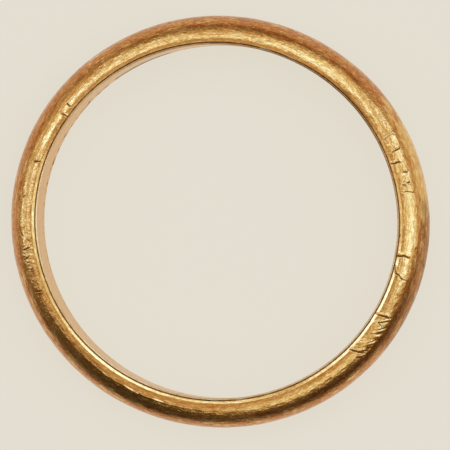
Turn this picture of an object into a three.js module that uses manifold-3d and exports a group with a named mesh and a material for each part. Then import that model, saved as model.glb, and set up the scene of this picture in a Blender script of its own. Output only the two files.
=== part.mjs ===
// Slip-on gold bangle, hollow, of half-round section: a domed sheet shell outside, a flat
// sheet band inside, soldered together along both rims over a hard filling.
// Millimetres. The bangle lies flat: +Z is the axis of the ring, +X is the long way of
// its slightly oval outline, and the origin is under the centre, on the plane it rests on.

import * as THREE from 'three';
import { mergeVertices } from 'three/addons/utils/BufferGeometryUtils.js';
import Module from 'manifold-3d';

const wasm = await Module();
wasm.setup();

// ---- Driving dimensions ----

const insideLength = 65.9;     // opening, the long way (X)
const insideWidth = 64.1;      // opening, the short way (Y)
const wallThickness = 5.35;    // from the inside face to the crown of the dome
const rimToRim = 10.0;         // height of the bangle along its axis
const shellSheet = 0.35;       // gold sheet of the dome
const bandSheet = 0.3;         // gold sheet of the inner band
const landWidth = 0.3;         // flat at each rim, before the dome begins to curve
const rimSeamWidth = 0.2;      // space for solder between the band and the shell's lip
const rimSeamDrop = 0.15;      // how far the solder lies below the lip
const bandDrop = 0.08;         // how far the band's edge lies below the lip
const endSeamWidth = 0.25;     // solder between the two ends of a bent strip
const solderClearance = 0.04;  // each side of a rim's solder
const fillingClearance = 0.3;  // all round the filling

// ---- Fineness of the curves ----

const ringSegments = 96;
const domeSteps = 12;
const liningSteps = 8;

// ---- Radii and heights that follow ----

const insideRadius = (insideLength + insideWidth) / 4;
const bandOuterRadius = insideRadius + bandSheet;
const lipRadius = bandOuterRadius + rimSeamWidth;
const domeStartRadius = lipRadius + landWidth;
const domeReach = insideRadius + wallThickness - domeStartRadius;
const halfHeight = rimToRim / 2;
const beyondRing = insideLength + insideWidth;

// ---- Materials ----

const gold = (name, color, roughness) => {
  return new THREE.MeshStandardMaterial({ name, color, roughness, metalness: 1.0 });
};
const shellGold = gold('shell_gold', 0xd39a45, 0.22);
const bandGold = gold('band_gold', 0xddb073, 0.3);
const solderGold = gold('solder_gold', 0xb98238, 0.4);
const fillingResin = new THREE.MeshStandardMaterial({
  name: 'filling_resin',
  color: 0x5a4632,
  roughness: 0.9,
  metalness: 0.0,
});

// ---- Geometry helpers ----

// Half ellipse of the dome from the lower land to the upper one, set in by `inset`.
function domeArc(inset, steps) {
  const points = [];
  for (let step = 0; step <= steps; step += 1) {
    const angle = Math.PI * (step / steps - 0.5);
    points.push([
      domeStartRadius + (domeReach - inset) * Math.cos(angle),
      halfHeight + (halfHeight - inset) * Math.sin(angle),
    ]);
  }
  return points;
}

// Moves a round ring's points onto the oval: the inside face goes to the ellipse of the
// opening, and the rest stays at its own distance from that face.
function bendToOval(ring) {
  const halfLength = insideLength / 2;
  const halfWidth = insideWidth / 2;
  const position = ring.getAttribute('position');
  for (let index = 0; index < position.count; index += 1) {
    const round = new THREE.Vector2(position.getX(index), position.getY(index));
    const outward = round.length() - insideRadius;
    round.normalize();
    const normal = new THREE.Vector2(halfWidth * round.x, halfLength * round.y).normalize();
    const x = halfLength * round.x + outward * normal.x;
    const y = halfWidth * round.y + outward * normal.y;
    position.setXY(index, x, y);
  }
}

// Closed section of [radius, height] points, run anticlockwise and turned round the axis
// into an oval ring.
function ovalRing(section) {
  const outline = [...section, section[0]].map(([radius, height]) => {
    return new THREE.Vector2(radius, height);
  });
  const ring = new THREE.LatheGeometry(outline, ringSegments);
  ring.deleteAttribute('normal');
  ring.deleteAttribute('uv');
  ring.rotateX(Math.PI / 2);
  bendToOval(ring);
  return mergeVertices(ring);
}

function toSolid(geometry) {
  const mesh = new wasm.Mesh({
    numProp: 3,
    vertProperties: new Float32Array(geometry.getAttribute('position').array),
    triVerts: new Uint32Array(geometry.getIndex().array),
  });
  return new wasm.Manifold(mesh);
}

function toGeometry(solid) {
  const { vertProperties, triVerts } = solid.getMesh();
  const geometry = new THREE.BufferGeometry();
  geometry.setAttribute('position', new THREE.BufferAttribute(vertProperties, 3));
  geometry.setIndex(new THREE.BufferAttribute(triVerts, 1));
  return geometry;
}

// Thin upright slab from the axis outwards, along +X or, turned, along -Y.
function seamSlab(alongY) {
  const slab = new THREE.BoxGeometry(beyondRing, endSeamWidth, 3 * rimToRim);
  slab.translate(beyondRing / 2, 0, halfHeight);
  if (alongY) {
    slab.applyMatrix4(new THREE.Matrix4().set(0, 1, 0, 0, -1, 0, 0, 0, 0, 0, 1, 0, 0, 0, 0, 1));
  }
  slab.deleteAttribute('normal');
  slab.deleteAttribute('uv');
  return toSolid(mergeVertices(slab));
}

// A bent strip and the solder that closes it, cut apart by one slab.
function stripAndSeam(ringGeometry, slab) {
  const ring = toSolid(ringGeometry);
  return {
    strip: toGeometry(ring.subtract(slab)),
    seam: toGeometry(ring.intersect(slab)),
  };
}

// ---- Sub-parts ----

// C-shaped channel: the dome, its two lands and the lips that stop short of the band.
function shellRing() {
  return ovalRing([
    [lipRadius, 0],
    ...domeArc(0, domeSteps),
    [lipRadius, rimToRim],
    [lipRadius, rimToRim - shellSheet],
    ...domeArc(shellSheet, liningSteps).reverse(),
    [lipRadius, shellSheet],
  ]);
}

function bandRing() {
  return ovalRing([
    [insideRadius, bandDrop],
    [bandOuterRadius, bandDrop],
    [bandOuterRadius, rimToRim - bandDrop],
    [insideRadius, rimToRim - bandDrop],
  ]);
}

// Solder between band and lip, as deep as the shell's sheet.
function rimSolder(bottom) {
  const inner = bandOuterRadius + solderClearance;
  const outer = lipRadius - solderClearance;
  return ovalRing([
    [inner, bottom],
    [outer, bottom],
    [outer, bottom + shellSheet],
    [inner, bottom + shellSheet],
  ]);
}

// Fills the D-shaped space between the shell and the band.
function filling() {
  const inset = shellSheet + fillingClearance;
  const innerRadius = bandOuterRadius + fillingClearance;
  return ovalRing([
    [innerRadius, inset],
    ...domeArc(inset, liningSteps),
    [innerRadius, rimToRim - inset],
  ]);
}

// ---- Assembly ----

const bangle = new THREE.Group();
bangle.name = 'bangle';

function add(name, geometry, material) {
  const mesh = new THREE.Mesh(geometry, material);
  mesh.name = name;
  bangle.add(mesh);
}

const shell = stripAndSeam(shellRing(), seamSlab(false));
const band = stripAndSeam(bandRing(), seamSlab(true));

add('outer_shell', shell.strip, shellGold);
add('shell_end_solder', shell.seam, solderGold);
add('inner_band', band.strip, bandGold);
add('band_end_solder', band.seam, solderGold);
add('front_rim_solder', rimSolder(rimToRim - rimSeamDrop - shellSheet), solderGold);
add('rear_rim_solder', rimSolder(rimSeamDrop), solderGold);
add('core_filling', filling(), fillingResin);

export default bangle;
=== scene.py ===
# A worn gold bangle lying on a pale floor: its looks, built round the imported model.
#
# Lengths are worked out in millimetres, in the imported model's frame, and become metres
# where a mesh, the floor or the camera is made. Three coordinates run over the ring:
#   turn    the angle round it, in degrees, from +X towards +Y
#   reach   the distance outwards from the inside face of the opening
#   run     the distance over the dome, from the lip of the front (upper) rim

import math
from collections import namedtuple

import bpy
import numpy as np
from mathutils import Matrix, Vector, noise
from mathutils.geometry import tessellate_polygon


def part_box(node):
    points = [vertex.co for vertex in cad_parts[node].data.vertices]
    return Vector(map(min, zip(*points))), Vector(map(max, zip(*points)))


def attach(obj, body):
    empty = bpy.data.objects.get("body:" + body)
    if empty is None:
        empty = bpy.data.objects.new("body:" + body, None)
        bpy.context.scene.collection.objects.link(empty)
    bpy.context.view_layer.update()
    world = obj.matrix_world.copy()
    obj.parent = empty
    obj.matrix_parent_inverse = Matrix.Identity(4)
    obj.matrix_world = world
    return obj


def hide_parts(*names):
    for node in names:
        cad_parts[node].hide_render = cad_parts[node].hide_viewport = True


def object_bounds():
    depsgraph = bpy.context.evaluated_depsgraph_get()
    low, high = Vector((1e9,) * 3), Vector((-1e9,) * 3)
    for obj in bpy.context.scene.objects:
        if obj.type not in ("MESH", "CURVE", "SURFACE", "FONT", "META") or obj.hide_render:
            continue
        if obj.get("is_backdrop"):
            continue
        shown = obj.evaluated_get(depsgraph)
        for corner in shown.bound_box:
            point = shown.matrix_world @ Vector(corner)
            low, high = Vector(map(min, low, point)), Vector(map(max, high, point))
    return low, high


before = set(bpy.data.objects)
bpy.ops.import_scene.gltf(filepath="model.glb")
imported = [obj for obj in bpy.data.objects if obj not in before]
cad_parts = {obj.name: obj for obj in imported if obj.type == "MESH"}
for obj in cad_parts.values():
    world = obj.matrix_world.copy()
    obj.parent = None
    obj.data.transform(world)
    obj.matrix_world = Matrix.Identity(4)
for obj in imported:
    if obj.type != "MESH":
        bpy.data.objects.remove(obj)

CAD_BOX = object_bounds()
MM = 0.001
PER_MM = 1.0 / MM


# ---- Sizes read from the frame, in mm ----

ON_AXIS = 0.001                        # how near an axis a vertex counts as on it
FLUSH = 0.01                           # how near two sizes count as one


def on_axis(node, axis):
    """(distances from the centre, heights) of a node's vertices on the X (0) or Y (1) axis."""
    points = np.array([vertex.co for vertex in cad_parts[node].data.vertices]) / MM
    points = points[np.abs(points[:, 1 - axis]) < ON_AXIS]
    return np.abs(points[:, axis]), points[:, 2]


band_x, band_z = on_axis("inner_band", 0)
band_y, _ = on_axis("inner_band", 1)
shell_y, shell_z = on_axis("outer_shell", 1)
solder_y, solder_z = on_axis("front_rim_solder", 1)

HALF_LENGTH = band_x.min()
HALF_WIDTH = band_y.min()
BAND_SHEET = band_x.max() - HALF_LENGTH
BAND_DROP = band_z.min()
HEIGHT = shell_z.max()
LIP = shell_y.min() - HALF_WIDTH
CROWN = shell_y.max() - HALF_WIDTH
LAND_END = shell_y[shell_z < FLUSH].max() - HALF_WIDTH
above_lip = (shell_y < HALF_WIDTH + LIP + FLUSH) & (shell_z > FLUSH)
SHELL_SHEET = shell_z[above_lip].min()
SOLDER_INNER = solder_y.min() - HALF_WIDTH
SOLDER_OUTER = solder_y.max() - HALF_WIDTH
SOLDER_LOW = solder_z.min()
SOLDER_HIGH = solder_z.max()
seam_low, seam_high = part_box("shell_end_solder")
END_SEAM = (seam_high[1] - seam_low[1]) / MM

MIDDLE_RADIUS = (HALF_LENGTH + HALF_WIDTH) / 2
DOME_RADIUS = MIDDLE_RADIUS + LAND_END


# ---- Camera: over the front rim, a little to the right, from far away ----

CAMERA_DISTANCE = 1559.0
CAMERA_TILT = math.radians(6.93)       # from straight above
CAMERA_LEAN = math.radians(8.6)        # where it leans to, from +X
CAMERA_ROLL = math.radians(12.9)       # the picture's right hand, from +X
CAMERA_AIM = Vector((1.05, -0.39, HEIGHT / 2))
CAMERA_LENS = 686.2
SENSOR_WIDTH = 36.0
CLIP_NEAR, CLIP_FAR = 0.1, 10.0        # metres


def add_camera():
    back = Vector((
        math.sin(CAMERA_TILT) * math.cos(CAMERA_LEAN),
        math.sin(CAMERA_TILT) * math.sin(CAMERA_LEAN),
        math.cos(CAMERA_TILT),
    ))
    upwards = Vector((-math.sin(CAMERA_ROLL), math.cos(CAMERA_ROLL), 0.0))
    right = upwards.cross(back).normalized()
    up = back.cross(right)
    data = bpy.data.cameras.new("camera")
    data.lens = CAMERA_LENS
    data.sensor_width = SENSOR_WIDTH
    data.clip_start = CLIP_NEAR
    data.clip_end = CLIP_FAR
    camera = bpy.data.objects.new("camera", data)
    turned = Matrix((right, up, back)).transposed().to_4x4()
    moved = Matrix.Translation((CAMERA_AIM + back * CAMERA_DISTANCE) * MM)
    camera.matrix_world = moved @ turned
    bpy.context.scene.collection.objects.link(camera)
    bpy.context.scene.camera = camera


# ---- Node helpers ----

class Tree:
    """Adds nodes to a node tree. An input is named by its own name, with _ for a space, or by
    i and its number, and is given as a value or as another node's output."""

    def __init__(self, tree):
        self.tree = tree
        tree.nodes.clear()

    def add(self, kind, settings=None, **inputs):
        made = self.tree.nodes.new(kind)
        for key, value in (settings or {}).items():
            setattr(made, key, value)
        for key, value in inputs.items():
            self.give(made, key, value)
        return made

    def give(self, made, key, value):
        socket = made.inputs[int(key[1:]) if key[1:].isdigit() else key.replace("_", " ")]
        if isinstance(value, bpy.types.NodeSocket):
            self.tree.links.new(value, socket)
        else:
            socket.default_value = value

    def math(self, operation, first, second=0.0, third=0.0, clamp=False):
        settings = {"operation": operation, "use_clamp": clamp}
        return self.add("ShaderNodeMath", settings, i0=first, i1=second, i2=third).outputs[0]

    def ramp(self, value, low, high, to_low=0.0, to_high=1.0):
        """value taken smoothly from low..high to to_low..to_high."""
        settings = {"interpolation_type": "SMOOTHSTEP"}
        inputs = {"i0": value, "i1": low, "i2": high, "i3": to_low, "i4": to_high}
        return self.add("ShaderNodeMapRange", settings, **inputs).outputs[0]

    def mix(self, factor, first, second, blend="MIX"):
        settings = {"data_type": "RGBA", "blend_type": blend}
        return self.add("ShaderNodeMix", settings, i0=factor, i6=first, i7=second).outputs[2]

    def noise(self, where, size, detail=2.0, roughness=0.5, distortion=0.0):
        """Noise from 0 to 1 with features about size mm across."""
        made = self.add("ShaderNodeTexNoise", None, Vector=where, Scale=PER_MM / size,
                        Detail=detail, Roughness=roughness, Distortion=distortion)
        return made.outputs[0]

    def streaks(self, where, size, stretch, detail=2.0):
        """Noise from 0 to 1, size mm across and drawn out stretch times along the ring."""
        split = self.add("ShaderNodeSeparateXYZ", None, Vector=where)
        flat = self.add("ShaderNodeCombineXYZ", None, X=split.outputs[0], Y=split.outputs[1])
        radius = self.add("ShaderNodeVectorMath", {"operation": "LENGTH"}, i0=flat.outputs[0])
        around = self.add("ShaderNodeVectorMath", {"operation": "NORMALIZE"}, i0=flat.outputs[0])
        around = self.add("ShaderNodeVectorMath", {"operation": "SCALE"}, i0=around.outputs[0],
                          Scale=DOME_RADIUS * MM / stretch)
        around = self.add("ShaderNodeSeparateXYZ", None, Vector=around.outputs[0])
        place = self.add("ShaderNodeCombineXYZ", None, X=around.outputs[0], Y=around.outputs[1],
                         Z=radius.outputs["Value"])
        made = self.add("ShaderNodeTexNoise", {"noise_dimensions": "4D"}, Vector=place.outputs[0],
                        W=split.outputs[2], Scale=PER_MM / size, Detail=detail)
        return made.outputs[0]


def colour(red, green, blue):
    return (red, green, blue, 1.0)


# ---- Surroundings: a soft bright studio with a darker horizon ----

BACKDROP = colour(0.76, 0.716, 0.617)
SHADE_TINT = colour(1.0, 0.69, 0.40)   # of the dark parts
LIGHT_TINT = colour(1.0, 1.2, 1.15)    # of the lamps
GLARE_TINT = colour(1.0, 1.35, 2.0)    # of the middle of the strongest lamps
SKY_LIGHT = 0.62                       # brightness of the plain sky just over the horizon
ZENITH_LIGHT = 0.52                    # and straight above
SKY_RISE = 20.0                        # degrees up to where the sky starts to change
SHADE_RANGE = (0.46, 1.10)             # brightness over which the shade's tint gives way
GLARE_RANGE = (0.90, 1.35)             # and over which the glare's tint comes in

# The dark horizon: angle round the picture from its right hand, how dark it is from 0 to
# 1, and its lower and upper edges, in degrees above the floor's horizon.
HORIZON = [
    (0, 0.15, 0, 20), (30, 0.20, 0, 20), (60, 0.58, 6, 26), (90, 0.60, 8, 34),
    (120, 0.58, 8, 33), (150, 0.42, 4, 20), (180, 0.45, 0, 23), (210, 0.82, -10, 61),
    (240, 0.91, -15, 45), (270, 0.82, -16, 33), (300, 0.86, -14, 38), (330, 0.76, -14, 28),
    (360, 0.15, 0, 20),
]
HORIZON_SOFTNESS = 11.0
EDGE_OFFSET = 90.0                     # the ramp below holds (edge + offset) / scale
EDGE_SCALE = 180.0

# Soft lamps: the angle round the picture and the rise of the middle of the glow, its half
# width, all in degrees, and the strength.
LAMPS = [
    (0.0, 48.0, 11.0, 0.65),
    (0.0, 25.0, 9.0, 0.25),
    (30.0, 34.0, 9.0, 0.70),
    (28.0, 69.0, 9.0, 0.32),
    (60.0, 33.0, 7.0, 0.20),
    (62.0, 53.0, 9.0, 0.42),
    (70.0, 68.0, 6.0, 0.62),
    (92.0, 60.0, 10.0, 0.25),
    (120.0, 70.0, 7.0, 0.45),
    (121.0, 44.0, 7.0, 0.45),
    (152.0, 59.0, 8.0, 0.80),
    (163.0, 32.0, 7.0, 0.22),
    (181.0, 29.0, 7.0, 0.72),
    (182.0, 59.0, 8.0, 0.24),
    (241.0, 50.0, 5.0, 0.50),
    (275.0, 50.0, 10.0, 0.28),
    (303.0, 54.0, 10.0, 0.30),
    (338.0, 50.0, 9.0, 0.22),
    (350.0, 70.0, 6.0, 0.35),
]
GLOW_REACH = 1.7                       # a glow ends this many half widths from its middle


def grey(t, value):
    return t.add("ShaderNodeCombineColor", None, i0=value, i1=value, i2=value).outputs[0]


def horizon_shade(t, level, azimuth):
    """What is left of the light at a level and azimuth in degrees, from 0 to 1."""
    ramp = t.tree.nodes.new("ShaderNodeValToRGB")
    t.tree.links.new(t.math("DIVIDE", azimuth, 360.0), ramp.inputs[0])
    stops = ramp.color_ramp.elements
    for index, (angle, depth, low, high) in enumerate(HORIZON):
        stop = stops[index] if index < 2 else stops.new(1.0)
        edges = [(edge + EDGE_OFFSET) / EDGE_SCALE for edge in (low, high)]
        stop.position = angle / 360.0
        stop.color = colour(depth, *edges)
    split = t.add("ShaderNodeSeparateColor", None, Color=ramp.outputs[0])
    depth = split.outputs[0]
    low = t.math("MULTIPLY_ADD", split.outputs[1], EDGE_SCALE, -EDGE_OFFSET)
    high = t.math("MULTIPLY_ADD", split.outputs[2], EDGE_SCALE, -EDGE_OFFSET)
    soft = (-HORIZON_SOFTNESS, HORIZON_SOFTNESS)
    over_low = t.ramp(t.math("SUBTRACT", level, low), *soft)
    under_high = t.ramp(t.math("SUBTRACT", level, high), *soft, 1.0, 0.0)
    dark = t.math("MULTIPLY", t.math("MULTIPLY", over_low, under_high), depth)
    return t.math("SUBTRACT", 1.0, dark)


def azimuth_of(t, x, y):
    """The angle round the picture, from 0 to 360 degrees."""
    angle = t.math("MULTIPLY", t.math("ARCTAN2", y, x), math.degrees(1.0))
    angle = t.math("SUBTRACT", angle, math.degrees(CAMERA_ROLL))
    return t.math("FLOORED_MODULO", angle, 360.0)


def tinted(t, light):
    """Light of that brightness, warmer where it is weak and whiter where it is strongest."""
    tint = t.mix(t.ramp(light, *SHADE_RANGE), SHADE_TINT, LIGHT_TINT)
    tint = t.mix(t.ramp(light, *GLARE_RANGE), tint, GLARE_TINT)
    return t.mix(1.0, tint, grey(t, light), "MULTIPLY")


def lamp_glow(t, where, light, lamp):
    """The light with one lamp's glow added to it."""
    turn, rise, width, strength = lamp
    turn, rise = math.radians(turn) + CAMERA_ROLL, math.radians(rise)
    aim = (math.cos(turn) * math.cos(rise), math.sin(turn) * math.cos(rise), math.sin(rise))
    facing = t.add("ShaderNodeVectorMath", {"operation": "DOT_PRODUCT"}, i0=where, i1=aim)
    rim = math.cos(math.radians(GLOW_REACH * width))
    return t.math("ADD", light, t.ramp(facing.outputs["Value"], rim, 1.0, 0.0, strength))


def add_studio():
    world = bpy.data.worlds.new("studio")
    world.use_nodes = True
    bpy.context.scene.world = world
    t = Tree(world.node_tree)
    where = t.add("ShaderNodeTexCoord").outputs["Generated"]
    split = t.add("ShaderNodeSeparateXYZ", None, Vector=where)
    level = t.math("MULTIPLY", t.math("ARCSINE", split.outputs[2]), math.degrees(1.0))
    azimuth = azimuth_of(t, split.outputs[0], split.outputs[1])
    light = t.ramp(level, SKY_RISE, 90.0, SKY_LIGHT, ZENITH_LIGHT)
    light = t.math("MULTIPLY", light, horizon_shade(t, level, azimuth))
    for lamp in LAMPS:
        light = lamp_glow(t, where, light, lamp)
    seen = t.add("ShaderNodeLightPath").outputs["Is Camera Ray"]
    final = t.mix(seen, tinted(t, light), BACKDROP)
    background = t.add("ShaderNodeBackground", None, Color=final, Strength=1.0)
    t.add("ShaderNodeOutputWorld", None, Surface=background.outputs[0])


FLOOR_RADIUS = 6000.0
FLOOR_STEPS = 96
FLOOR_DROP = 0.02                      # keeps it clear of the rim that rests on it
FLOOR_NEAREST = 0.1                    # least distance from the bangle that its light is for
FLOOR_GLOW = 0.92                      # the share of its colour that isn't shaded
FLOOR_SHADED = colour(0.12, 0.122, 0.12)


def add_floor():
    """A wide disc of pale paper for the bangle to lie on."""
    radius = FLOOR_RADIUS * MM
    corners = []
    for step in range(FLOOR_STEPS):
        angle = 2 * math.pi * step / FLOOR_STEPS
        corners.append((radius * math.cos(angle), radius * math.sin(angle), 0.0))
    mesh = bpy.data.meshes.new("floor")
    mesh.from_pydata(corners, [], [list(range(FLOOR_STEPS))])
    floor = bpy.data.objects.new("floor", mesh)
    floor.location.z = -FLOOR_DROP * MM
    bpy.context.scene.collection.objects.link(floor)
    floor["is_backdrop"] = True
    mesh.materials.append(floor_paper())


def floor_paper():
    """Glows for the camera, and for the metal is as dark as the horizon beyond each point."""
    material = bpy.data.materials.new("floor_paper")
    material.use_nodes = True
    t = Tree(material.node_tree)
    where = t.add("ShaderNodeNewGeometry").outputs["Position"]
    split = t.add("ShaderNodeSeparateXYZ", None, Vector=where)
    distance = t.add("ShaderNodeVectorMath", {"operation": "LENGTH"}, i0=where).outputs["Value"]
    beyond = t.math("SUBTRACT", distance, (MIDDLE_RADIUS + CROWN) * MM)
    beyond = t.math("MAXIMUM", beyond, FLOOR_NEAREST * MM)
    level = t.math("ARCTAN2", -HEIGHT / 2 * MM, beyond)
    level = t.math("MULTIPLY", level, math.degrees(1.0))
    azimuth = azimuth_of(t, split.outputs[0], split.outputs[1])
    mirrored_light = horizon_shade(t, level, azimuth)
    reflected = t.add("ShaderNodeEmission", None, Color=BACKDROP, Strength=mirrored_light)
    glow = t.add("ShaderNodeEmission", None, Color=BACKDROP, Strength=FLOOR_GLOW)
    shaded = t.add("ShaderNodeBsdfDiffuse", None, Color=FLOOR_SHADED)
    direct = t.add("ShaderNodeAddShader", None, i0=glow.outputs[0], i1=shaded.outputs[0])
    seen = t.add("ShaderNodeLightPath").outputs["Is Camera Ray"]
    either = t.add("ShaderNodeMixShader", None, i0=seen, i1=reflected.outputs[0],
                   i2=direct.outputs[0])
    t.add("ShaderNodeOutputMaterial", None, Surface=either.outputs[0])
    return material


# ---- Sections: closed outlines of (reach, height) points in mm ----

LIP_EDGE = 0.03                        # width of the rounding at the seam
LIP_ROUNDING = 0.05                    # and its height
BEVEL_END = 1.0                        # reach where the lip's worn bevel meets the dome
BEVEL_SLOPE = math.tan(math.radians(13.0))
BEVEL_DROP = (BEVEL_END - LIP - LIP_EDGE) * BEVEL_SLOPE
BEVEL_SHARES = (0.33, 0.66, 0.92)      # where rows lie across the bevel
LIP_FACE = SHELL_SHEET - BEVEL_DROP - LIP_ROUNDING
DOME_START = math.degrees(math.acos((BEVEL_END - LAND_END) / (CROWN - LAND_END)))
DOME_FRONT = (DOME_START, 40.0, 30)    # angles on the dome and rows between them
DOME_SIDE = (40.0, 0.0, 9)
DOME_REAR = (0.0, -DOME_START, 17)
LINING_STEPS = 5


def arc(centre, size, first, last, steps):
    """Points of an ellipse's arc about centre, between two angles in degrees."""
    points = []
    for step in range(steps + 1):
        angle = math.radians(first + (last - first) * step / steps)
        across, up = size[0] * math.cos(angle), size[1] * math.sin(angle)
        points.append((centre[0] + across, centre[1] + up))
    return points


def mirrored(points):
    """The same points on the other half of the section, in reverse order."""
    return [(reach, HEIGHT - height) for reach, height in reversed(points)]


def shown_first(outline, shown):
    """The outline, whose last `shown` points are the ones that show, with those put first."""
    return outline[-shown:] + outline[:-shown]


def runs_along(outline):
    """The distance of each point from the first, along the outline."""
    steps = np.linalg.norm(np.diff(outline, axis=0), axis=1)
    return np.concatenate([[0.0], np.cumsum(steps)])


def shell_lip():
    """Up the lip's face, over its rounded edge and up the bevel, short of the dome."""
    edge = (LIP + LIP_EDGE, HEIGHT - BEVEL_DROP)
    lip = [(LIP, HEIGHT - SHELL_SHEET)]
    lip += arc((edge[0], edge[1] - LIP_ROUNDING), (LIP_EDGE, LIP_ROUNDING), 180, 90, 4)
    for share in BEVEL_SHARES:
        lip.append((edge[0] + (BEVEL_END - edge[0]) * share, edge[1] + BEVEL_DROP * share))
    return lip


def shell_section():
    """(outline, points on its outside): front lip, dome, rear lip, then the lining back."""
    half = HEIGHT / 2
    lip = shell_lip()
    dome = []
    for first, last, steps in (DOME_FRONT, DOME_SIDE, DOME_REAR):
        part = arc((LAND_END, half), (CROWN - LAND_END, half), first, last, steps)
        dome += part[:-1]
    dome.append(part[-1])
    outside = lip + dome + mirrored(lip)
    inner = (CROWN - LAND_END - SHELL_SHEET, half - SHELL_SHEET)
    lining = arc((LAND_END, half), inner, -90, 90, LINING_STEPS)
    return outside + lining, len(outside)


SHELL_OUTLINE, SHELL_SHOWN = shell_section()
SHELL_RUN = runs_along(SHELL_OUTLINE[:SHELL_SHOWN])[-1]

BAND_BEVEL_SLOPE = math.tan(math.radians(22.0))
BAND_BACK_ROUNDING = 0.04
BAND_FACE_ROUNDING = 0.05
BAND_STEPS = 26                        # rows down the inside face


def band_section():
    """(outline, points on its visible side): front edge, inside face, rear edge, back face."""
    low, high = BAND_DROP, HEIGHT - BAND_DROP
    back, front = BAND_BACK_ROUNDING, BAND_FACE_ROUNDING
    bevel_low = high - (BAND_SHEET - back - front) * BAND_BEVEL_SLOPE
    rounds = arc((BAND_SHEET - back, high - back), (back, back), 0, 90, 3)
    rounds += [(0.5 * (BAND_SHEET - back + front), (high + bevel_low) / 2)]
    rounds += arc((front, bevel_low - front), (front, front), 90, 180, 4)
    edge = high - bevel_low + front
    fall = (low - high + 2 * edge) / BAND_STEPS
    face = [(0.0, high - edge + fall * step) for step in range(1, BAND_STEPS)]
    visible = rounds + face + mirrored(rounds)
    hidden = [(BAND_SHEET, low + (high - low) * share) for share in (0.3, 0.5, 0.7)]
    return shown_first((visible + hidden)[::-1], len(visible)), len(visible)


SOLDER_ROUNDING = 0.05


def solder_section(front):
    """(outline, points that show): a bead with a rounded top, or bottom on the rear rim."""
    middle = (SOLDER_INNER + SOLDER_OUTER) / 2
    size = ((SOLDER_OUTER - SOLDER_INNER) / 2, SOLDER_ROUNDING)
    top = arc((middle, SOLDER_HIGH - SOLDER_ROUNDING), size, 180, 0, 6)
    outline = top + [(SOLDER_OUTER, SOLDER_LOW), (SOLDER_INNER, SOLDER_LOW)]
    if front:
        return outline, len(top)
    return shown_first(mirrored(outline), len(top)), len(top)


def outward_normals(outline):
    """Unit normals of a closed outline that runs clockwise, with reach to the right."""
    along = np.roll(outline, -1, axis=0) - np.roll(outline, 1, axis=0)
    normals = np.stack([-along[:, 1], along[:, 0]], axis=1)
    return normals / np.linalg.norm(normals, axis=1, keepdims=True)


# ---- Marks left by wear on the shell ----
#
# A route is a list of (turn, run); radii and depths are in mm.

Crack = namedtuple("Crack", "route depth")
Pit = namedtuple("Pit", "turn run radius depth")
Scratch = namedtuple("Scratch", "route depth")

CRACKS = [
    Crack([(157.7, 1.2), (157.4, 0.0)], 0.22),
    Crack([(154.2, 1.6), (154.4, 0.7)], 0.18),
    Crack([(174.7, 1.9), (174.2, 0.7)], 0.20),
    Crack([(39.5, 0.4), (39.8, 2.6)], 0.10),
    Crack([(34.7, 1.2), (35.5, 3.2)], 0.22),
    Crack([(31.6, 0.2), (31.2, 0.8), (31.5, 1.3), (31.0, 2.0)], 0.30),
    Crack([(28.0, 1.8), (27.9, 2.9)], 0.18),
    Crack([(24.3, 1.1), (24.1, 1.9)], 0.16),
    Crack([(24.8, 2.1), (24.7, 2.8)], 0.16),
    Crack([(22.2, 1.0), (21.9, 2.2), (21.6, 3.4)], 0.12),
    Crack([(2.1, 0.1), (2.5, 1.2), (2.3, 2.5)], 0.30),
    Crack([(358.8, 0.0), (356.7, 0.6), (355.7, 1.6), (355.4, 2.6)], 0.20),
    Crack([(342.5, 0.6), (343.1, 1.6), (343.3, 3.0)], 0.30),
    Crack([(341.0, 1.3), (340.4, 1.8), (339.4, 2.7)], 0.14),
    Crack([(328.6, 0.5), (329.4, 1.4), (330.8, 3.0)], 0.28),
    Crack([(215.0, 1.2), (214.8, 2.6)], 0.22),
    Crack([(207.9, 1.4), (207.7, 2.1)], 0.14),
    Crack([(204.7, 2.7), (203.9, 1.8)], 0.16),
    Crack([(201.7, 2.4), (201.2, 1.3)], 0.18),
    Crack([(186.0, 2.6), (185.3, 1.9)], 0.10),
]
CRACK_WIDENING = 0.45                  # half width of a crack for its depth
CRACK_HALF_LEAST = 0.03                # and what is added to it
CRACK_GRIME = 0.95
CRACK_WANDER = 0.3                     # degrees it strays from its route, and half as many mm
BURR = 0.08                            # height of the edge thrown up on one side of a crack
BURR_DEPTH = 0.25                      # of this depth

PITS = [
    Pit(43.5, 2.6, 0.16, 0.08),
    Pit(33.2, 4.0, 0.16, 0.08),
    Pit(25.2, 1.6, 0.20, 0.08),
    Pit(26.2, 2.0, 0.14, 0.07),
    Pit(172.5, 1.0, 0.14, 0.08),
    Pit(139.3, 2.2, 0.22, 0.10),
    Pit(133.5, 1.9, 0.16, 0.07),
    Pit(110.0, 3.2, 0.15, 0.06),
    Pit(107.5, 2.7, 0.15, 0.06),
    Pit(322.9, 2.4, 0.20, 0.07),
    Pit(168.2, 0.2, 0.16, 0.10),
    Pit(163.8, 0.1, 0.18, 0.10),
    Pit(161.7, 0.1, 0.15, 0.08),
    Pit(10.4, 0.1, 0.14, 0.08),
    Pit(8.5, 0.1, 0.16, 0.08),
]

SCRATCHES = [
    Scratch([(141.4, 1.8), (141.0, 0.8)], 0.03),
    Scratch([(41.7, 2.4), (40.0, 2.8), (38.9, 3.5)], 0.04),
    Scratch([(40.7, 2.2), (39.8, 2.6), (39.1, 2.1)], 0.04),
    Scratch([(24.4, 2.0), (23.9, 3.4)], 0.03),
    Scratch([(348.7, 0.4), (345.7, 3.1)], 0.04),
    Scratch([(349.6, 0.9), (347.2, 2.9)], 0.03),
    Scratch([(352.0, 1.4), (350.0, 2.4)], 0.03),
    Scratch([(120.0, 2.0), (116.0, 2.9)], 0.02),
    Scratch([(70.0, 1.4), (64.0, 3.0)], 0.02),
]

SCRATCH_WIDTH = 0.12

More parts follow.
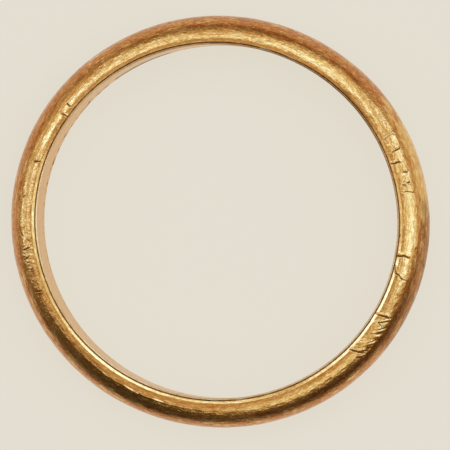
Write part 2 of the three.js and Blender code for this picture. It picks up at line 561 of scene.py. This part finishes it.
# Patches of short folds that run across the dome: first and last turn, first and last run,
# height and lean. The first FINE_FOLDS of them get a finer mesh.
FOLDS = [
    (329.5, 341.5, 0.9, 2.9, 0.13, -0.9),
    (196.0, 206.5, 0.9, 2.9, 0.05, 0.5),
    (19.0, 44.0, 1.0, 3.6, 0.030, 0.3),
    (343.0, 352.0, 0.8, 3.0, 0.040, -1.2),
    (100.0, 160.0, 0.6, 2.6, 0.015, 0.4),
]
FINE_FOLDS = 3
FOLD_SPACING = 0.42
FOLD_LENGTH = 1.3


def wear_marks_behind():
    """Cracks near the rear rim and pits over the dome, scattered from a fixed seed."""
    spread = np.random.default_rng(7)
    cracks, pits = [], []
    for _ in range(6):
        turn, run = spread.uniform(0, 360), spread.uniform(12.2, 13.8)
        length, lean = spread.uniform(0.7, 1.6), spread.uniform(-0.5, 0.5)
        cracks.append(Crack([(turn, run), (turn + lean, run - length)], spread.uniform(0.12, 0.24)))
    for _ in range(22):
        pits.append(Pit(spread.uniform(0, 360), spread.uniform(5.0, 14.0),
                        spread.uniform(0.12, 0.25), spread.uniform(0.03, 0.07)))
    return cracks, pits


REAR_CRACKS, REAR_PITS = wear_marks_behind()


def gap_to_route(turns, runs, route):
    """(distance to the route in mm, share of the way along it, which side of it, by its sign)
    for arrays of turns and runs."""
    across = (turns - route[0][0] + 180.0) % 360.0 - 180.0
    across = np.radians(across) * DOME_RADIUS
    nearest = np.full(across.shape, 1e9)
    share, side = np.zeros(across.shape), np.zeros(across.shape)
    ends = [(np.radians(turn - route[0][0]) * DOME_RADIUS, run) for turn, run in route]
    lengths = [math.dist(a, b) for a, b in zip(ends, ends[1:])]
    walked = 0.0
    for start, end, length in zip(ends, ends[1:], lengths):
        step_x, step_y = (end[0] - start[0]) / length, (end[1] - start[1]) / length
        along = (across - start[0]) * step_x + (runs - start[1]) * step_y
        along = np.clip(along, 0.0, length)
        gap = np.hypot(across - start[0] - along * step_x, runs - start[1] - along * step_y)
        closer = gap < nearest
        nearest = np.where(closer, gap, nearest)
        share = np.where(closer, (walked + along) / sum(lengths), share)
        side_here = (across - start[0]) * step_y - (runs - start[1]) * step_x
        side = np.where(closer, side_here, side)
        walked += length
    return nearest, share, side


def noise_at(points, size, salt):
    """Smooth noise from -1 to 1 at points in mm, with features about size mm across. Another
    salt gives another pattern."""
    moved = points / size + salt
    flat = moved.reshape(-1, 3)
    values = [noise.noise(Vector(point)) for point in flat.tolist()]
    return np.array(values).reshape(moved.shape[:-1])


def window(values, low, high, soft):
    """1 between low and high, falling smoothly to 0 over soft outside them."""
    rise = np.clip((values - low) / soft + 1.0, 0.0, 1.0)
    fall = np.clip((high - values) / soft + 1.0, 0.0, 1.0)
    both = np.minimum(rise, fall)
    return both * both * (3 - 2 * both)


def turn_window(turns, low, high, soft):
    """The same for an arc of turns, which may pass through 0."""
    middle, half = (low + high) / 2, (high - low) / 2
    away = np.abs((turns - middle + 180.0) % 360.0 - 180.0)
    return window(away, -1.0, half, soft)


RIDGE_RUN = 1.80                       # crease along the inner side of the worn facet
RIDGE_RISE = 0.30                      # width of its near side
RIDGE_FALL = 0.08                      # and of its far side
RIDGE_TURNS = (225.0, 280.0)
RIDGE_SHARP_TURNS = (248.0, 268.0)     # where it stands out most
RIDGE_HEIGHT, RIDGE_SHARP_HEIGHT = 0.04, 0.20
DARK_PATCH_TURNS = (-22.0, 16.0)
DARK_PATCH_RUNS = (4.6, 9.5)


def folds(turns, runs):
    """(displacement, painted shade in their hollows) of the patches of folds."""
    around = np.radians(turns) * DOME_RADIUS
    lift, grime_and_shade = np.zeros(turns.shape), np.zeros(turns.shape)
    for low, high, near, far, height, lean in FOLDS:
        patch = turn_window(turns, low, high, 2.0) * window(runs, near, far, 0.5)
        across = (around + lean * runs) / FOLD_SPACING
        fold = noise_at(np.stack([across, runs / FOLD_LENGTH, 0.0 * across], axis=-1), 1.0, 6.6)
        lift += height * patch * fold
        # painted shade in the hollows of the folds
        grime_and_shade += 2.0 * height * patch * np.clip(-fold - 0.1, 0.0, 1.0)
    return lift, grime_and_shade


def ridge(turns, runs, points):
    """A broken crease along the worn facet: a rising step with a sharp far side."""
    broken = np.clip(0.7 + 1.8 * noise_at(points, 1.5, 2.3), 0.0, 1.0)
    strength = turn_window(turns, *RIDGE_TURNS, 8.0) * RIDGE_HEIGHT
    strength += turn_window(turns, *RIDGE_SHARP_TURNS, 4.0) * RIDGE_SHARP_HEIGHT
    beyond = runs - RIDGE_RUN - 0.10 * noise_at(points, 3.0, 4.9)
    rise = np.clip(1.0 + beyond / RIDGE_RISE, 0.0, 1.0)
    fall = np.exp(-(np.maximum(beyond, 0.0) / RIDGE_FALL) ** 2)
    return strength * broken * rise * fall


def darker_outer_patch(turns, runs, points):
    """A darker brown patch on the outer side, round the joint."""
    patch = turn_window(turns, *DARK_PATCH_TURNS, 5.0) * window(runs, *DARK_PATCH_RUNS, 0.8)
    return patch * np.clip(0.36 + 0.3 * noise_at(points, 2.2, 7.4), 0.0, 1.0)


# Swells and dents of the dome: height, size across and salt of the noise.
DENTS = [
    (0.050, 15.0, 3.1),
    (0.030, 5.5, 8.4),
    (0.016, 2.4, 1.7),
    (0.011, 1.1, 5.2),
    (0.006, 0.7, 3.8),
]
STREAK_LENGTH, STREAK_WIDTH, STREAK_HEIGHT = 2.8, 0.5, 0.009
DENTED_FROM = 0.3                      # distance from a lip where the dents set in
DENTED_OVER = 0.5                      # and over which they do
LIP_DENTS = 0.12                       # share of the dents that is left on the lips


def dents(turns, runs, points):
    """Displacement of the swells, dents and long streaks, which fade out at the lips."""
    lift = np.zeros(turns.shape)
    for height, size, salt in DENTS:
        lift += height * noise_at(points, size, salt)
    around = np.radians(turns) * DOME_RADIUS
    streaks = np.stack([around / STREAK_LENGTH, runs / STREAK_WIDTH, 0.0 * runs], axis=-1)
    lift += STREAK_HEIGHT * noise_at(streaks, 1.0, 9.3)
    from_lip = np.minimum(runs, SHELL_RUN - runs)
    return lift * np.clip((from_lip - DENTED_FROM) / DENTED_OVER, LIP_DENTS, 1.0)


def crack_wear(crack, turns, runs):
    """(displacement, grime) of a crack, with a burr on one side."""
    gap, share, side = gap_to_route(turns, runs, crack.route)
    taper = np.sqrt(np.clip(4.0 * np.minimum(share, 1.0 - share) + 0.15, 0.0, 1.0))
    half = CRACK_WIDENING * crack.depth + CRACK_HALF_LEAST
    groove = np.clip(1.3 - 1.3 * gap / half, 0.0, 1.0) * taper
    burr = np.exp(-((gap - 1.6 * half) / half) ** 2) * (side > 0) * taper
    return crack.depth * (BURR / BURR_DEPTH * burr - groove), CRACK_GRIME * groove


def pit_wear(pit, turns, runs):
    """(displacement, grime) of a pit with a low rim."""
    gap, _, _ = gap_to_route(turns, runs, [(pit.turn, pit.run), (pit.turn + 0.1, pit.run)])
    bowl = np.exp(-(gap / pit.radius) ** 2 * 1.5)
    rim = np.exp(-((gap - 1.5 * pit.radius) / (0.5 * pit.radius)) ** 2)
    return pit.depth * (0.25 * rim - bowl), 0.8 * bowl ** 2


def scratch_wear(scratch, turns, runs):
    """(displacement, grime) of a scratch: a furrow between two low banks."""
    gap, share, _ = gap_to_route(turns, runs, scratch.route)
    taper = np.clip(5.0 * np.minimum(share, 1.0 - share), 0.0, 1.0)
    furrow = np.exp(-(gap / SCRATCH_WIDTH) ** 2)
    banks = np.exp(-((gap - 1.5 * SCRATCH_WIDTH) / SCRATCH_WIDTH) ** 2)
    grime_and_shade = 0.25 * taper * np.exp(-(1.2 * gap / SCRATCH_WIDTH) ** 2)
    return scratch.depth * taper * (banks - furrow), grime_and_shade


def shell_wear(turns, runs, points):
    """(displacement in mm along the surface's normal, dirt and painted shade from 0 to 1) on the
    shell. Here run is measured from the lower edge of the lip's face."""
    runs = runs - LIP_FACE
    folded, grime_and_shade = folds(turns, runs)
    lift = dents(turns, runs, points) + ridge(turns, runs, points) + folded
    grime_and_shade = np.maximum(grime_and_shade, darker_outer_patch(turns, runs, points))
    wander = CRACK_WANDER * noise_at(points, 0.9, 6.1)
    strayed = (turns + wander, runs + 0.5 * wander)
    marks = [crack_wear(crack, *strayed) for crack in CRACKS + REAR_CRACKS]
    marks += [pit_wear(pit, turns, runs) for pit in PITS + REAR_PITS]
    marks += [scratch_wear(scratch, turns, runs) for scratch in SCRATCHES]
    for raised, dirt in marks:
        lift += raised
        grime_and_shade = np.maximum(grime_and_shade, dirt)
    return lift, grime_and_shade


# ---- Meshes ----

def place(turns, reach, height):
    """Points in mm for arrays of turns in degrees, reaches and heights."""
    cos, sin = np.cos(np.radians(turns)), np.sin(np.radians(turns))
    normal_x, normal_y = HALF_WIDTH * cos, HALF_LENGTH * sin
    length = np.hypot(normal_x, normal_y)
    x = HALF_LENGTH * cos + reach * normal_x / length
    y = HALF_WIDTH * sin + reach * normal_y / length
    return np.stack([x, y, height + 0.0 * x], axis=-1)


END_STEP = 0.01                        # degrees; keeps the shading of a cut end off the strip
LEAST_STEP = 0.03                      # least distance between two turns


def fine_turns(first, last, spacing, around):
    """Turns from first to last, about spacing mm apart, and closer over the arcs of `around`,
    each given as its first and last turn and its own spacing. An arc over the joint is left
    out."""
    per_degree = math.radians(1.0) * DOME_RADIUS
    turns = list(np.linspace(first, last, int((last - first) * per_degree / spacing)))
    for low, high, close in around:
        low += 360.0 * math.ceil((first - low) / 360.0)
        high += 360.0 * math.ceil((first - high) / 360.0)
        if high < low:
            continue
        turns = [turn for turn in turns if not low < turn < high]
        turns += list(np.linspace(low, high, int((high - low) * per_degree / close)))
    turns = np.array(sorted(turns))
    turns = turns[(turns > first + 2 * END_STEP) & (turns < last - 2 * END_STEP)]
    gaps = np.diff(turns) * per_degree
    turns = turns[np.concatenate([[True], gaps > LEAST_STEP])]
    return np.concatenate([[first, first + END_STEP], turns, [last - END_STEP, last]])


# The UV picture: strips of the ring one over another, and the two end caps along the bottom.
HIDDEN_SHARE = 0.12                    # of its own width, what a hidden row takes
UV_MARGIN = 0.015                      # at either end of a strip
UV_CAPS = 0.06                         # height that is kept for the caps
UV_FILLED = 0.92                       # share of a strip's height that is used
CAP_STARTS = (0.05, 0.55)
CAP_LENGTH, CAP_HEIGHT, CAP_BASE = 0.4, 0.04, 0.005


def spread_rows(outline, shown):
    """Share of a strip's height for each row of the outline, the hidden rows taking little."""
    steps = np.linalg.norm(np.roll(outline, -1, axis=0) - outline, axis=1)
    steps[shown - 1:] *= HIDDEN_SHARE
    return np.concatenate([[0.0], np.cumsum(steps)]) / steps.sum()


def side_uvs(outline, shown, turns, closed, strips):
    """UV corners of the swept quads, with the ring cut into that many strips."""
    shares = spread_rows(outline, shown)
    ahead = np.append(turns, turns[0] + 360.0) if closed else turns
    travel = (ahead - turns[0]) / (ahead[-1] - turns[0]) * strips
    start, end = travel[:-1], travel[1:]
    strip = np.clip(np.floor((start + end) / 2), 0, strips - 1)
    left = UV_MARGIN + (1 - 2 * UV_MARGIN) * (start - strip)
    right = UV_MARGIN + (1 - 2 * UV_MARGIN) * (end - strip)
    base = UV_CAPS + (1 - UV_CAPS) * strip / strips
    low = base[:, None] + UV_FILLED / strips * shares[None, :-1]
    high = base[:, None] + UV_FILLED / strips * shares[None, 1:]
    left = np.broadcast_to(left[:, None], low.shape)
    right = np.broadcast_to(right[:, None], low.shape)
    return np.stack([left, low, left, high, right, high, right, low], axis=-1).ravel()


def side_quads(count, rows, closed):
    """The swept quads of count turns and that many rows, as vertex numbers."""
    first = np.arange(count if closed else count - 1)[:, None]
    second = (first + 1) % count
    row = np.arange(rows)[None, :]
    beyond = (row + 1) % rows
    quads = [first * rows + row, first * rows + beyond]
    quads += [second * rows + beyond, second * rows + row]
    return np.stack(quads, axis=-1).reshape(-1, 4)


def end_caps(outline, count):
    """(triangles, their UV corners) that close the first and the last of count turns."""
    flat = [Vector((reach, height, 0.0)) for reach, height in outline]
    faces, corners = [], []
    for turn, start in zip((0, count - 1), CAP_STARTS):
        for triangle in tessellate_polygon([flat]):
            a, b, c = (outline[index] for index in triangle)
            clockwise = (b[0] - a[0]) * (c[1] - a[1]) - (b[1] - a[1]) * (c[0] - a[0]) < 0
            if clockwise == (turn == 0):
                triangle = triangle[::-1]
            faces.append([turn * len(outline) + index for index in triangle])
            for index in triangle:
                reach, height = outline[index]
                corners.append(start + CAP_LENGTH * height / HEIGHT)
                corners.append(CAP_BASE + CAP_HEIGHT * reach / CROWN)
    return faces, corners


def sweep(name, outline, shown, turns, closed, wear, strips):
    """A closed mesh: the outline carried round the ring at the turns. wear(turns, runs,
    points) gives a displacement along the normal and a value of dirt and painted shade for the
    shown rows."""
    outline = np.array(outline)
    reach, height = outline.T
    grid = place(turns[:, None], reach, height)
    lift, grime_and_shade = np.zeros(grid.shape[:2]), np.zeros(grid.shape[:2])
    each_turn, each_run = np.broadcast_arrays(turns[:, None], runs_along(outline[:shown]))
    lift[:, :shown], grime_and_shade[:, :shown] = wear(each_turn, each_run, grid[:, :shown])
    normals = outward_normals(outline)
    grid = place(turns[:, None], reach + lift * normals[:, 0], height + lift * normals[:, 1])

    quads = side_quads(len(turns), len(outline), closed)
    faces, corners = quads.tolist(), side_uvs(outline, shown, turns, closed, strips)
    if not closed:
        caps, cap_corners = end_caps(outline, len(turns))
        faces += caps
        corners = np.concatenate([corners, cap_corners])
    mesh = bpy.data.meshes.new(name)
    mesh.from_pydata((grid.reshape(-1, 3) * MM).tolist(), [], faces)
    mesh.uv_layers.new(name="OFBake").data.foreach_set("uv", corners)
    mesh.polygons.foreach_set("use_smooth", np.arange(len(faces)) < len(quads))
    piece = bpy.data.objects.new(name, mesh)
    bpy.context.scene.collection.objects.link(piece)
    store(piece, "grime_and_shade", np.clip(grime_and_shade, 0.0, 1.0))
    return piece


def store(piece, name, values):
    """Keeps a value for each vertex, for a material to read by that name."""
    kept = piece.data.attributes.new(name, "FLOAT", "POINT")
    kept.data.foreach_set("value", values.ravel())


def finish_piece(piece, material, node):
    """Gives the piece its material and puts it in the place of a CAD node."""
    piece.data.materials.append(material)
    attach(piece, "root")
    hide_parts(node)


# ---- Metals ----

PALE_GOLD = colour(1.0, 0.86, 0.54)
BRIGHT_GOLD = colour(0.97, 0.63, 0.25)
DEEP_GOLD = colour(0.82, 0.44, 0.13)
COPPER = colour(0.70, 0.31, 0.10)
RUST = colour(0.56, 0.20, 0.065)
PALE_ROSE = colour(0.92, 0.74, 0.54)
ROSE_GOLD = colour(0.86, 0.60, 0.35)
DEEP_ROSE = colour(0.78, 0.47, 0.24)
# colour of dirt, and of painted shade in the seams, in the hollows of folds and low on the inside
# face
GRIME_AND_SHADE = colour(0.12, 0.05, 0.014)

# pale, bright and deep: the flecks and the two golds of the clean metal. tint: the colour of
# its reflection at a grazing angle. smooth and dull: the range of its roughness. relief: the
# height of the fine relief in mm. flecks: how strongly the colour is broken up.
Gold = namedtuple("Gold", "pale bright deep tint smooth dull relief flecks")

GOLDS = {
    "shell_gold": Gold(PALE_GOLD, BRIGHT_GOLD, DEEP_GOLD, tint=colour(1.0, 1.0, 1.0),
                       smooth=0.09, dull=0.22, relief=0.060, flecks=1.0),
    "band_gold": Gold(PALE_ROSE, ROSE_GOLD, DEEP_ROSE, tint=colour(0.95, 0.80, 0.62),
                      smooth=0.14, dull=0.26, relief=0.020, flecks=0.4),
    "solder_gold": Gold(BRIGHT_GOLD, DEEP_GOLD, COPPER, tint=colour(0.9, 0.7, 0.5),
                        smooth=0.25, dull=0.45, relief=0.030, flecks=1.0),
}

# Sizes across of the patterns, in mm
CLOUDS = 3.2
ROUGH_CLOUDS = 1.1
GRAIN = 0.45
STREAKS, STREAK_STRETCH = 0.40, 6.0
FLECKS, FLECK_STRETCH = 0.24, 3.5
PINPRICKS = 1.1
SWELLS = 1.4
FINE_DENTS = 0.5
POLISHING, POLISHING_STRETCH = 0.30, 6.0
SPECKS = 0.8
HAIRS = 1.6
HAIR_TURN = (0.4, 0.2, 0.9)            # radians
HAIR_STRETCH = (1.0, 9.0, 2.0)
POLISHED_RELIEF = 0.3                  # share of the relief that is left where it is polished


def attribute(t, name):
    return t.add("ShaderNodeAttribute", {"attribute_name": name}).outputs["Fac"]


def gold_colour(t, where, metal, grime_and_shade, polish_and_glint):
    """(colour, share of coppery film) over the surface."""
    clouds = t.noise(where, CLOUDS, 4.0, 0.6)
    streaks = t.streaks(where, STREAKS, STREAK_STRETCH)
    grain = t.noise(where, GRAIN, 3.0, 0.6)
    face = t.mix(t.ramp(streaks, 0.45, 0.66, 0.0, 0.9), metal.bright, metal.deep)
    face = t.mix(t.ramp(clouds, 0.38, 0.70, 0.0, 0.4), face, metal.deep)
    # polished places turn brighter gold: real polish on the lips' bevels, a painted glint on the
    # crease
    face = t.mix(t.math("MULTIPLY", polish_and_glint, 0.8), face, metal.bright)

    film = attribute(t, "patina")
    uneven = t.math("MULTIPLY_ADD", clouds, 1.8, -0.9)
    uneven = t.math("MULTIPLY_ADD", t.math("SUBTRACT", streaks, 0.5), 1.4, uneven)
    uneven = t.math("MULTIPLY", uneven, t.ramp(film, 0.0, 0.3))
    patch = t.ramp(t.math("ADD", film, uneven), 0.25, 0.75)
    film_colour = t.mix(t.ramp(grain, 0.46, 0.60, 0.0, 0.9), COPPER, RUST)
    film_colour = t.mix(t.ramp(streaks, 0.40, 0.30, 0.0, 0.7), film_colour, metal.bright)
    face = t.mix(patch, face, film_colour)
    return fine_flecks(t, where, metal, face, patch, grime_and_shade), patch


def fine_flecks(t, where, metal, face, patch, grime_and_shade):
    """The colour broken up by lighter and darker flecks and pinpricks, then the dirt and painted
    shade.
    """
    flecks = t.streaks(where, FLECKS, FLECK_STRETCH, 3.0)
    clean = t.math("MULTIPLY_ADD", patch, -0.6, 1.0)
    pale = t.math("MULTIPLY", t.ramp(flecks, 0.56, 0.68, 0.0, 0.7 * metal.flecks), clean)
    face = t.mix(pale, face, metal.pale)
    shade = t.ramp(flecks, 0.32, 0.62, 1.0 - 0.24 * metal.flecks, 1.05)
    face = t.mix(1.0, face, grey(t, shade), "MULTIPLY")
    cells = t.add("ShaderNodeTexVoronoi", None, Vector=where, Scale=PER_MM / PINPRICKS)
    drawn = t.add("ShaderNodeSeparateColor", None, Color=cells.outputs["Color"]).outputs[0]
    chosen = t.ramp(drawn, 0.62, 0.70)
    pinprick = t.math("MULTIPLY", t.ramp(cells.outputs["Distance"], 0.06, 0.13, 0.6, 0.0), chosen)
    face = t.mix(pinprick, face, GRIME_AND_SHADE)
    # dirt and painted shade darken the colour here
    return t.mix(t.math("MULTIPLY", grime_and_shade, 0.9, clamp=True), face, GRIME_AND_SHADE)


def gold_relief(t, where, metal, polish_and_glint):
    """Fine dents, specks, polishing streaks and hair scratches, as a normal."""
    height = t.math("MULTIPLY", t.noise(where, SWELLS, 2.0), 1.2)
    dented = t.math("MULTIPLY", t.noise(where, FINE_DENTS, 3.0, 0.55, 0.4), 0.7)
    streaks = t.math("MULTIPLY", t.streaks(where, POLISHING, POLISHING_STRETCH), 0.45)
    cells = t.add("ShaderNodeTexVoronoi", None, Vector=where, Scale=PER_MM / SPECKS)
    specks = t.ramp(cells.outputs["Distance"], 0.05, 0.20, -0.12, 0.0)
    along = t.add("ShaderNodeMapping", None, Vector=where, Rotation=HAIR_TURN, Scale=HAIR_STRETCH)
    hairs = t.ramp(t.noise(along.outputs[0], HAIRS), 0.60, 0.68, 0.0, -0.10)
    for part in (dented, streaks, specks, hairs):
        height = t.math("ADD", height, part)
    relief = metal.relief * MM
    distance = t.ramp(polish_and_glint, 0.0, 1.0, relief, POLISHED_RELIEF * relief)
    bump = t.add("ShaderNodeBump", None, Strength=1.0, Distance=distance, Height=height)
    return bump.outputs[0]


def gold(name):
    """Worn gold: streaked in two golds, coppery where the patina attribute says, dark and dull
    where the attribute of dirt and painted shade says, and smooth where it is polished, with a
    painted glint on the crease."""
    metal = GOLDS[name]
    material = bpy.data.materials.new(name)
    material.use_nodes = True
    t = Tree(material.node_tree)
    where = t.add("ShaderNodeTexCoord").outputs["Object"]
    grime_and_shade, polish_and_glint = attribute(t, "grime_and_shade"), attribute(t, "polish_and_glint")
    face, patch = gold_colour(t, where, metal, grime_and_shade, polish_and_glint)
    rough = t.ramp(t.noise(where, ROUGH_CLOUDS, 3.0, 0.6), 0.3, 0.75, metal.smooth, metal.dull)
    rough = t.math("MULTIPLY_ADD", patch, 0.06, rough)
    rough = t.math("MULTIPLY_ADD", polish_and_glint, -0.06, rough)
    rough = t.math("MULTIPLY_ADD", grime_and_shade, 0.4, rough, clamp=True)
    shader = t.add("ShaderNodeBsdfPrincipled", None, Base_Color=face, Metallic=1.0,
                   Roughness=rough, Specular_Tint=metal.tint,
                   Normal=gold_relief(t, where, metal, polish_and_glint))
    t.add("ShaderNodeOutputMaterial", None, Surface=shader.outputs[0])
    return material


RESIN_DARK = colour(0.10, 0.06, 0.035)
RESIN_LIGHT = colour(0.17, 0.11, 0.06)
GRIT_COLOUR = colour(0.35, 0.27, 0.18)
RESIN_CLOUDS = 3.0
GRIT = 0.5
GRIT_RELIEF = 0.05


def filling_resin():
    """Old brown resin with paler grit in it."""
    material = bpy.data.materials.new("filling_resin")
    material.use_nodes = True
    t = Tree(material.node_tree)
    where = t.add("ShaderNodeTexCoord").outputs["Object"]
    clouds = t.noise(where, RESIN_CLOUDS, 5.0, 0.6)
    cells = t.add("ShaderNodeTexVoronoi", None, Vector=where, Scale=PER_MM / GRIT)
    from_grit = cells.outputs["Distance"]
    body = t.mix(t.ramp(clouds, 0.3, 0.7), RESIN_DARK, RESIN_LIGHT)
    body = t.mix(t.ramp(from_grit, 0.05, 0.25, 0.5, 0.0), body, GRIT_COLOUR)
    bump = t.add("ShaderNodeBump", None, Strength=0.6, Distance=GRIT_RELIEF * MM, Height=from_grit)
    shader = t.add("ShaderNodeBsdfPrincipled", None, Base_Color=body, Roughness=0.85,
                   Normal=bump.outputs[0])
    t.add("ShaderNodeOutputMaterial", None, Surface=shader.outputs[0])
    return material


# ---- Pieces ----

SHELL_SPACING = 0.34                   # between the turns of a mesh
FOLD_MESH = 0.15                       # and closer over folds
CRACK_MESH = 0.07                      # and cracks,
BESIDE_CRACK = 0.3                     # from this far beside them
BAND_SPACING = 0.38
BEAD_TURNS = 480
SHELL_STRIPS, BAND_STRIPS, BEAD_STRIPS = 4, 3, 6

FILM_START = 3.25                      # reach where the coppery film begins
FILM_FADE = 0.9                        # reach over which it grows
FILM_MOST = 0.78
GOLDEN_TURNS = (20.0, 40.0)            # where there is least of it
WIDE_FILM_TURNS = (75.0, 165.0)        # where it comes furthest in
CREASE_REACH = (1.95, 2.3)             # where the sharp crease is polished, with a painted glint


def patina_of_shell(turns, outline):
    """How strong the coppery film on the dome's outer side is, from 0 where there is none."""
    reach = np.array(outline)[None, :, 0]
    start = FILM_START + 0.15 * np.sin(np.radians(3.0 * turns[:, None] + 40.0))
    start = start - 0.35 * turn_window(turns[:, None], *WIDE_FILM_TURNS, 15.0)
    copper = np.clip((reach - start) / FILM_FADE, 0.0, FILM_MOST)
    golden = turn_window(turns[:, None], *GOLDEN_TURNS, 12.0)
    return copper * (1.0 - 0.75 * golden)


def polish_and_glint_of_shell(turns, outline):
    """How polished the shell is: 1 on the lips' bevels, less on the sharp crease, where it also
    paints a glint, else 0.
    """
    reach, height = np.array(outline).T
    bevel = np.clip((BEVEL_END + 0.1 - reach) / 0.15, 0.0, 1.0)[None, :]
    crease = window(reach, *CREASE_REACH, 0.15) * (height > HEIGHT / 2)
    # the crease: polished, and a painted glint
    crease = 0.8 * crease[None, :] * turn_window(turns[:, None], *RIDGE_SHARP_TURNS, 4.0)
    return np.maximum(bevel, crease)


def shell_strip(name, turns, strips):
    strip = sweep(name, SHELL_OUTLINE, SHELL_SHOWN, turns, False, shell_wear, strips)
    store(strip, "patina", patina_of_shell(turns, SHELL_OUTLINE))
    store(strip, "polish_and_glint", polish_and_glint_of_shell(turns, SHELL_OUTLINE))
    return strip


def close_arcs():
    """(first turn, last turn, spacing in mm) of the arcs that need a finer mesh."""
    folded = [(low, high, FOLD_MESH) for low, high, *_ in FOLDS[:FINE_FOLDS]]
    beside = math.degrees(BESIDE_CRACK / DOME_RADIUS)
    cracked = []
    for crack in CRACKS + REAR_CRACKS:
        turns = [turn for turn, _ in crack.route]
        cracked.append((min(turns) - beside, max(turns) + beside, CRACK_MESH))
    return folded + cracked


def joint_turns(middle, radius):
    """Turns over an end solder, with one more just inside each end."""
    half = math.degrees(math.asin(END_SEAM / 2 / radius))
    return middle + np.array([-half, -half + END_STEP, 0.0, half - END_STEP, half])


def build_shell(material):
    """The dome and the joint of its ends, whose solder is rubbed to the colour of the dome."""
    over_seam = joint_turns(0.0, HALF_WIDTH)
    turns = fine_turns(over_seam[-1], over_seam[0] + 360.0, SHELL_SPACING, close_arcs())
    shell = shell_strip("outer_shell_gold", turns, SHELL_STRIPS)
    finish_piece(shell, material, "outer_shell")
    seam = shell_strip("shell_end_solder_line", over_seam, 1)
    finish_piece(seam, material, "shell_end_solder")


NICKED_TURNS = (139.0, 178.0)          # dark nicks on the inside face
CONTACT_SHADOW_TURNS = (120.0, 138.5)          # and a painted contact shadow beside them, low on the inside face
SHADED_SEAM_TURNS = (62.0, 130.0)            # where painted shade on top of its dirt makes the front seam nearly black
LIT_EDGE_TURNS = (170.0, 235.0)           # where the band's front edge, catching the light, has no dirt or painted shade


def seam_dirt_and_shade(turns, points):
    """Dirt in and beside the seams between the band and the shell, with painted shade that darkens
    it more over one arc of the ring.
    """
    # painted shade: the seam is darkened more over one arc of the ring
    dirt = 0.30 + 0.40 * turn_window(turns, *SHADED_SEAM_TURNS, 20.0)
    return np.clip(dirt + 0.25 * noise_at(points, 1.0, 3.3), 0.0, 1.0)


def band_wear(turns, runs, points):
    """Shallow dents on the inside face, nicks, a painted contact shadow low along its rear side,
    and dirt with painted shade on its front edge."""
    height = points[..., 2]
    lift = 0.020 * noise_at(points, 9.0, 4.4) + 0.008 * noise_at(points, 2.4, 9.1)
    spots = noise_at(points * np.array([1.0, 1.0, 0.6]), 0.8, 7.7)
    nicked = 0.2 + 0.8 * turn_window(turns, *NICKED_TURNS, 5.0)
    nicks = np.clip(spots - 0.14, 0.0, 1.0) * window(height, BAND_DROP, 1.2, 2.2) * nicked
    lift -= 0.10 * nicks
    grime_and_shade = np.clip(4.5 * nicks, 0.0, 0.9)
    # painted contact shadow: the lowest part of the inside face is darkened, with a ragged upper
    # edge
    ragged = height - 1.5 - 1.2 * noise_at(points * np.array([1.0, 1.0, 0.3]), 1.6, 2.2)
    contact_shadow = turn_window(turns, *CONTACT_SHADOW_TURNS, 1.5) * np.clip(1.0 - 0.6 * ragged, 0.0, 1.0)
    grime_and_shade = np.maximum(grime_and_shade, 0.75 * contact_shadow)
    # dirt and painted shade on the band's front edge beside the seam, left out where the edge
    # catches the light
    edge = window(height, HEIGHT - BAND_DROP - 0.12, HEIGHT, 0.1)
    edge = 0.5 * edge * (1.0 - turn_window(turns, *LIT_EDGE_TURNS, 10.0))
    return lift, np.maximum(grime_and_shade, edge * seam_dirt_and_shade(turns, points))


def build_band(material, solder):
    outline, shown = band_section()
    over_seam = joint_turns(-90.0, HALF_LENGTH)
    turns = fine_turns(over_seam[-1], over_seam[0] + 360.0, BAND_SPACING, [])
    band = sweep("inner_band_gold", outline, shown, turns, False, band_wear, BAND_STRIPS)
    finish_piece(band, material, "inner_band")
    seam = sweep("band_end_solder_line", outline, shown, over_seam, False, band_wear, 1)
    finish_piece(seam, solder, "band_end_solder")


def bead_wear(turns, runs, points):
    """Uneven height of a run of solder, with dirt and painted shade in it."""
    lift = 0.03 * noise_at(points, 1.2, 2.9) + 0.02 * noise_at(points, 4.0, 5.9) - 0.02
    return lift, seam_dirt_and_shade(turns, points)


def build_rim_solders(material):
    turns = np.linspace(0.0, 360.0, BEAD_TURNS, endpoint=False)
    for side in ("front", "rear"):
        outline, shown = solder_section(side == "front")
        name = f"{side}_rim_solder_bead"
        bead = sweep(name, outline, shown, turns, True, bead_wear, BEAD_STRIPS)
        finish_piece(bead, material, f"{side}_rim_solder")


def dress_filling():
    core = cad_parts["core_filling"]
    material = filling_resin()
    core.data.materials.clear()
    core.data.materials.append(material)


def build_bangle():
    solder = gold("solder_gold")
    build_shell(gold("shell_gold"))
    build_band(gold("band_gold"), solder)
    build_rim_solders(solder)
    dress_filling()


def write_sizes():
    boxes = {"cad": CAD_BOX, "visual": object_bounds()}
    boxes = {key: [list(corner) for corner in box] for key, box in boxes.items()}


bpy.context.scene.view_settings.view_transform = "Standard"
add_camera()
add_studio()
add_floor()
build_bangle()
write_sizes()
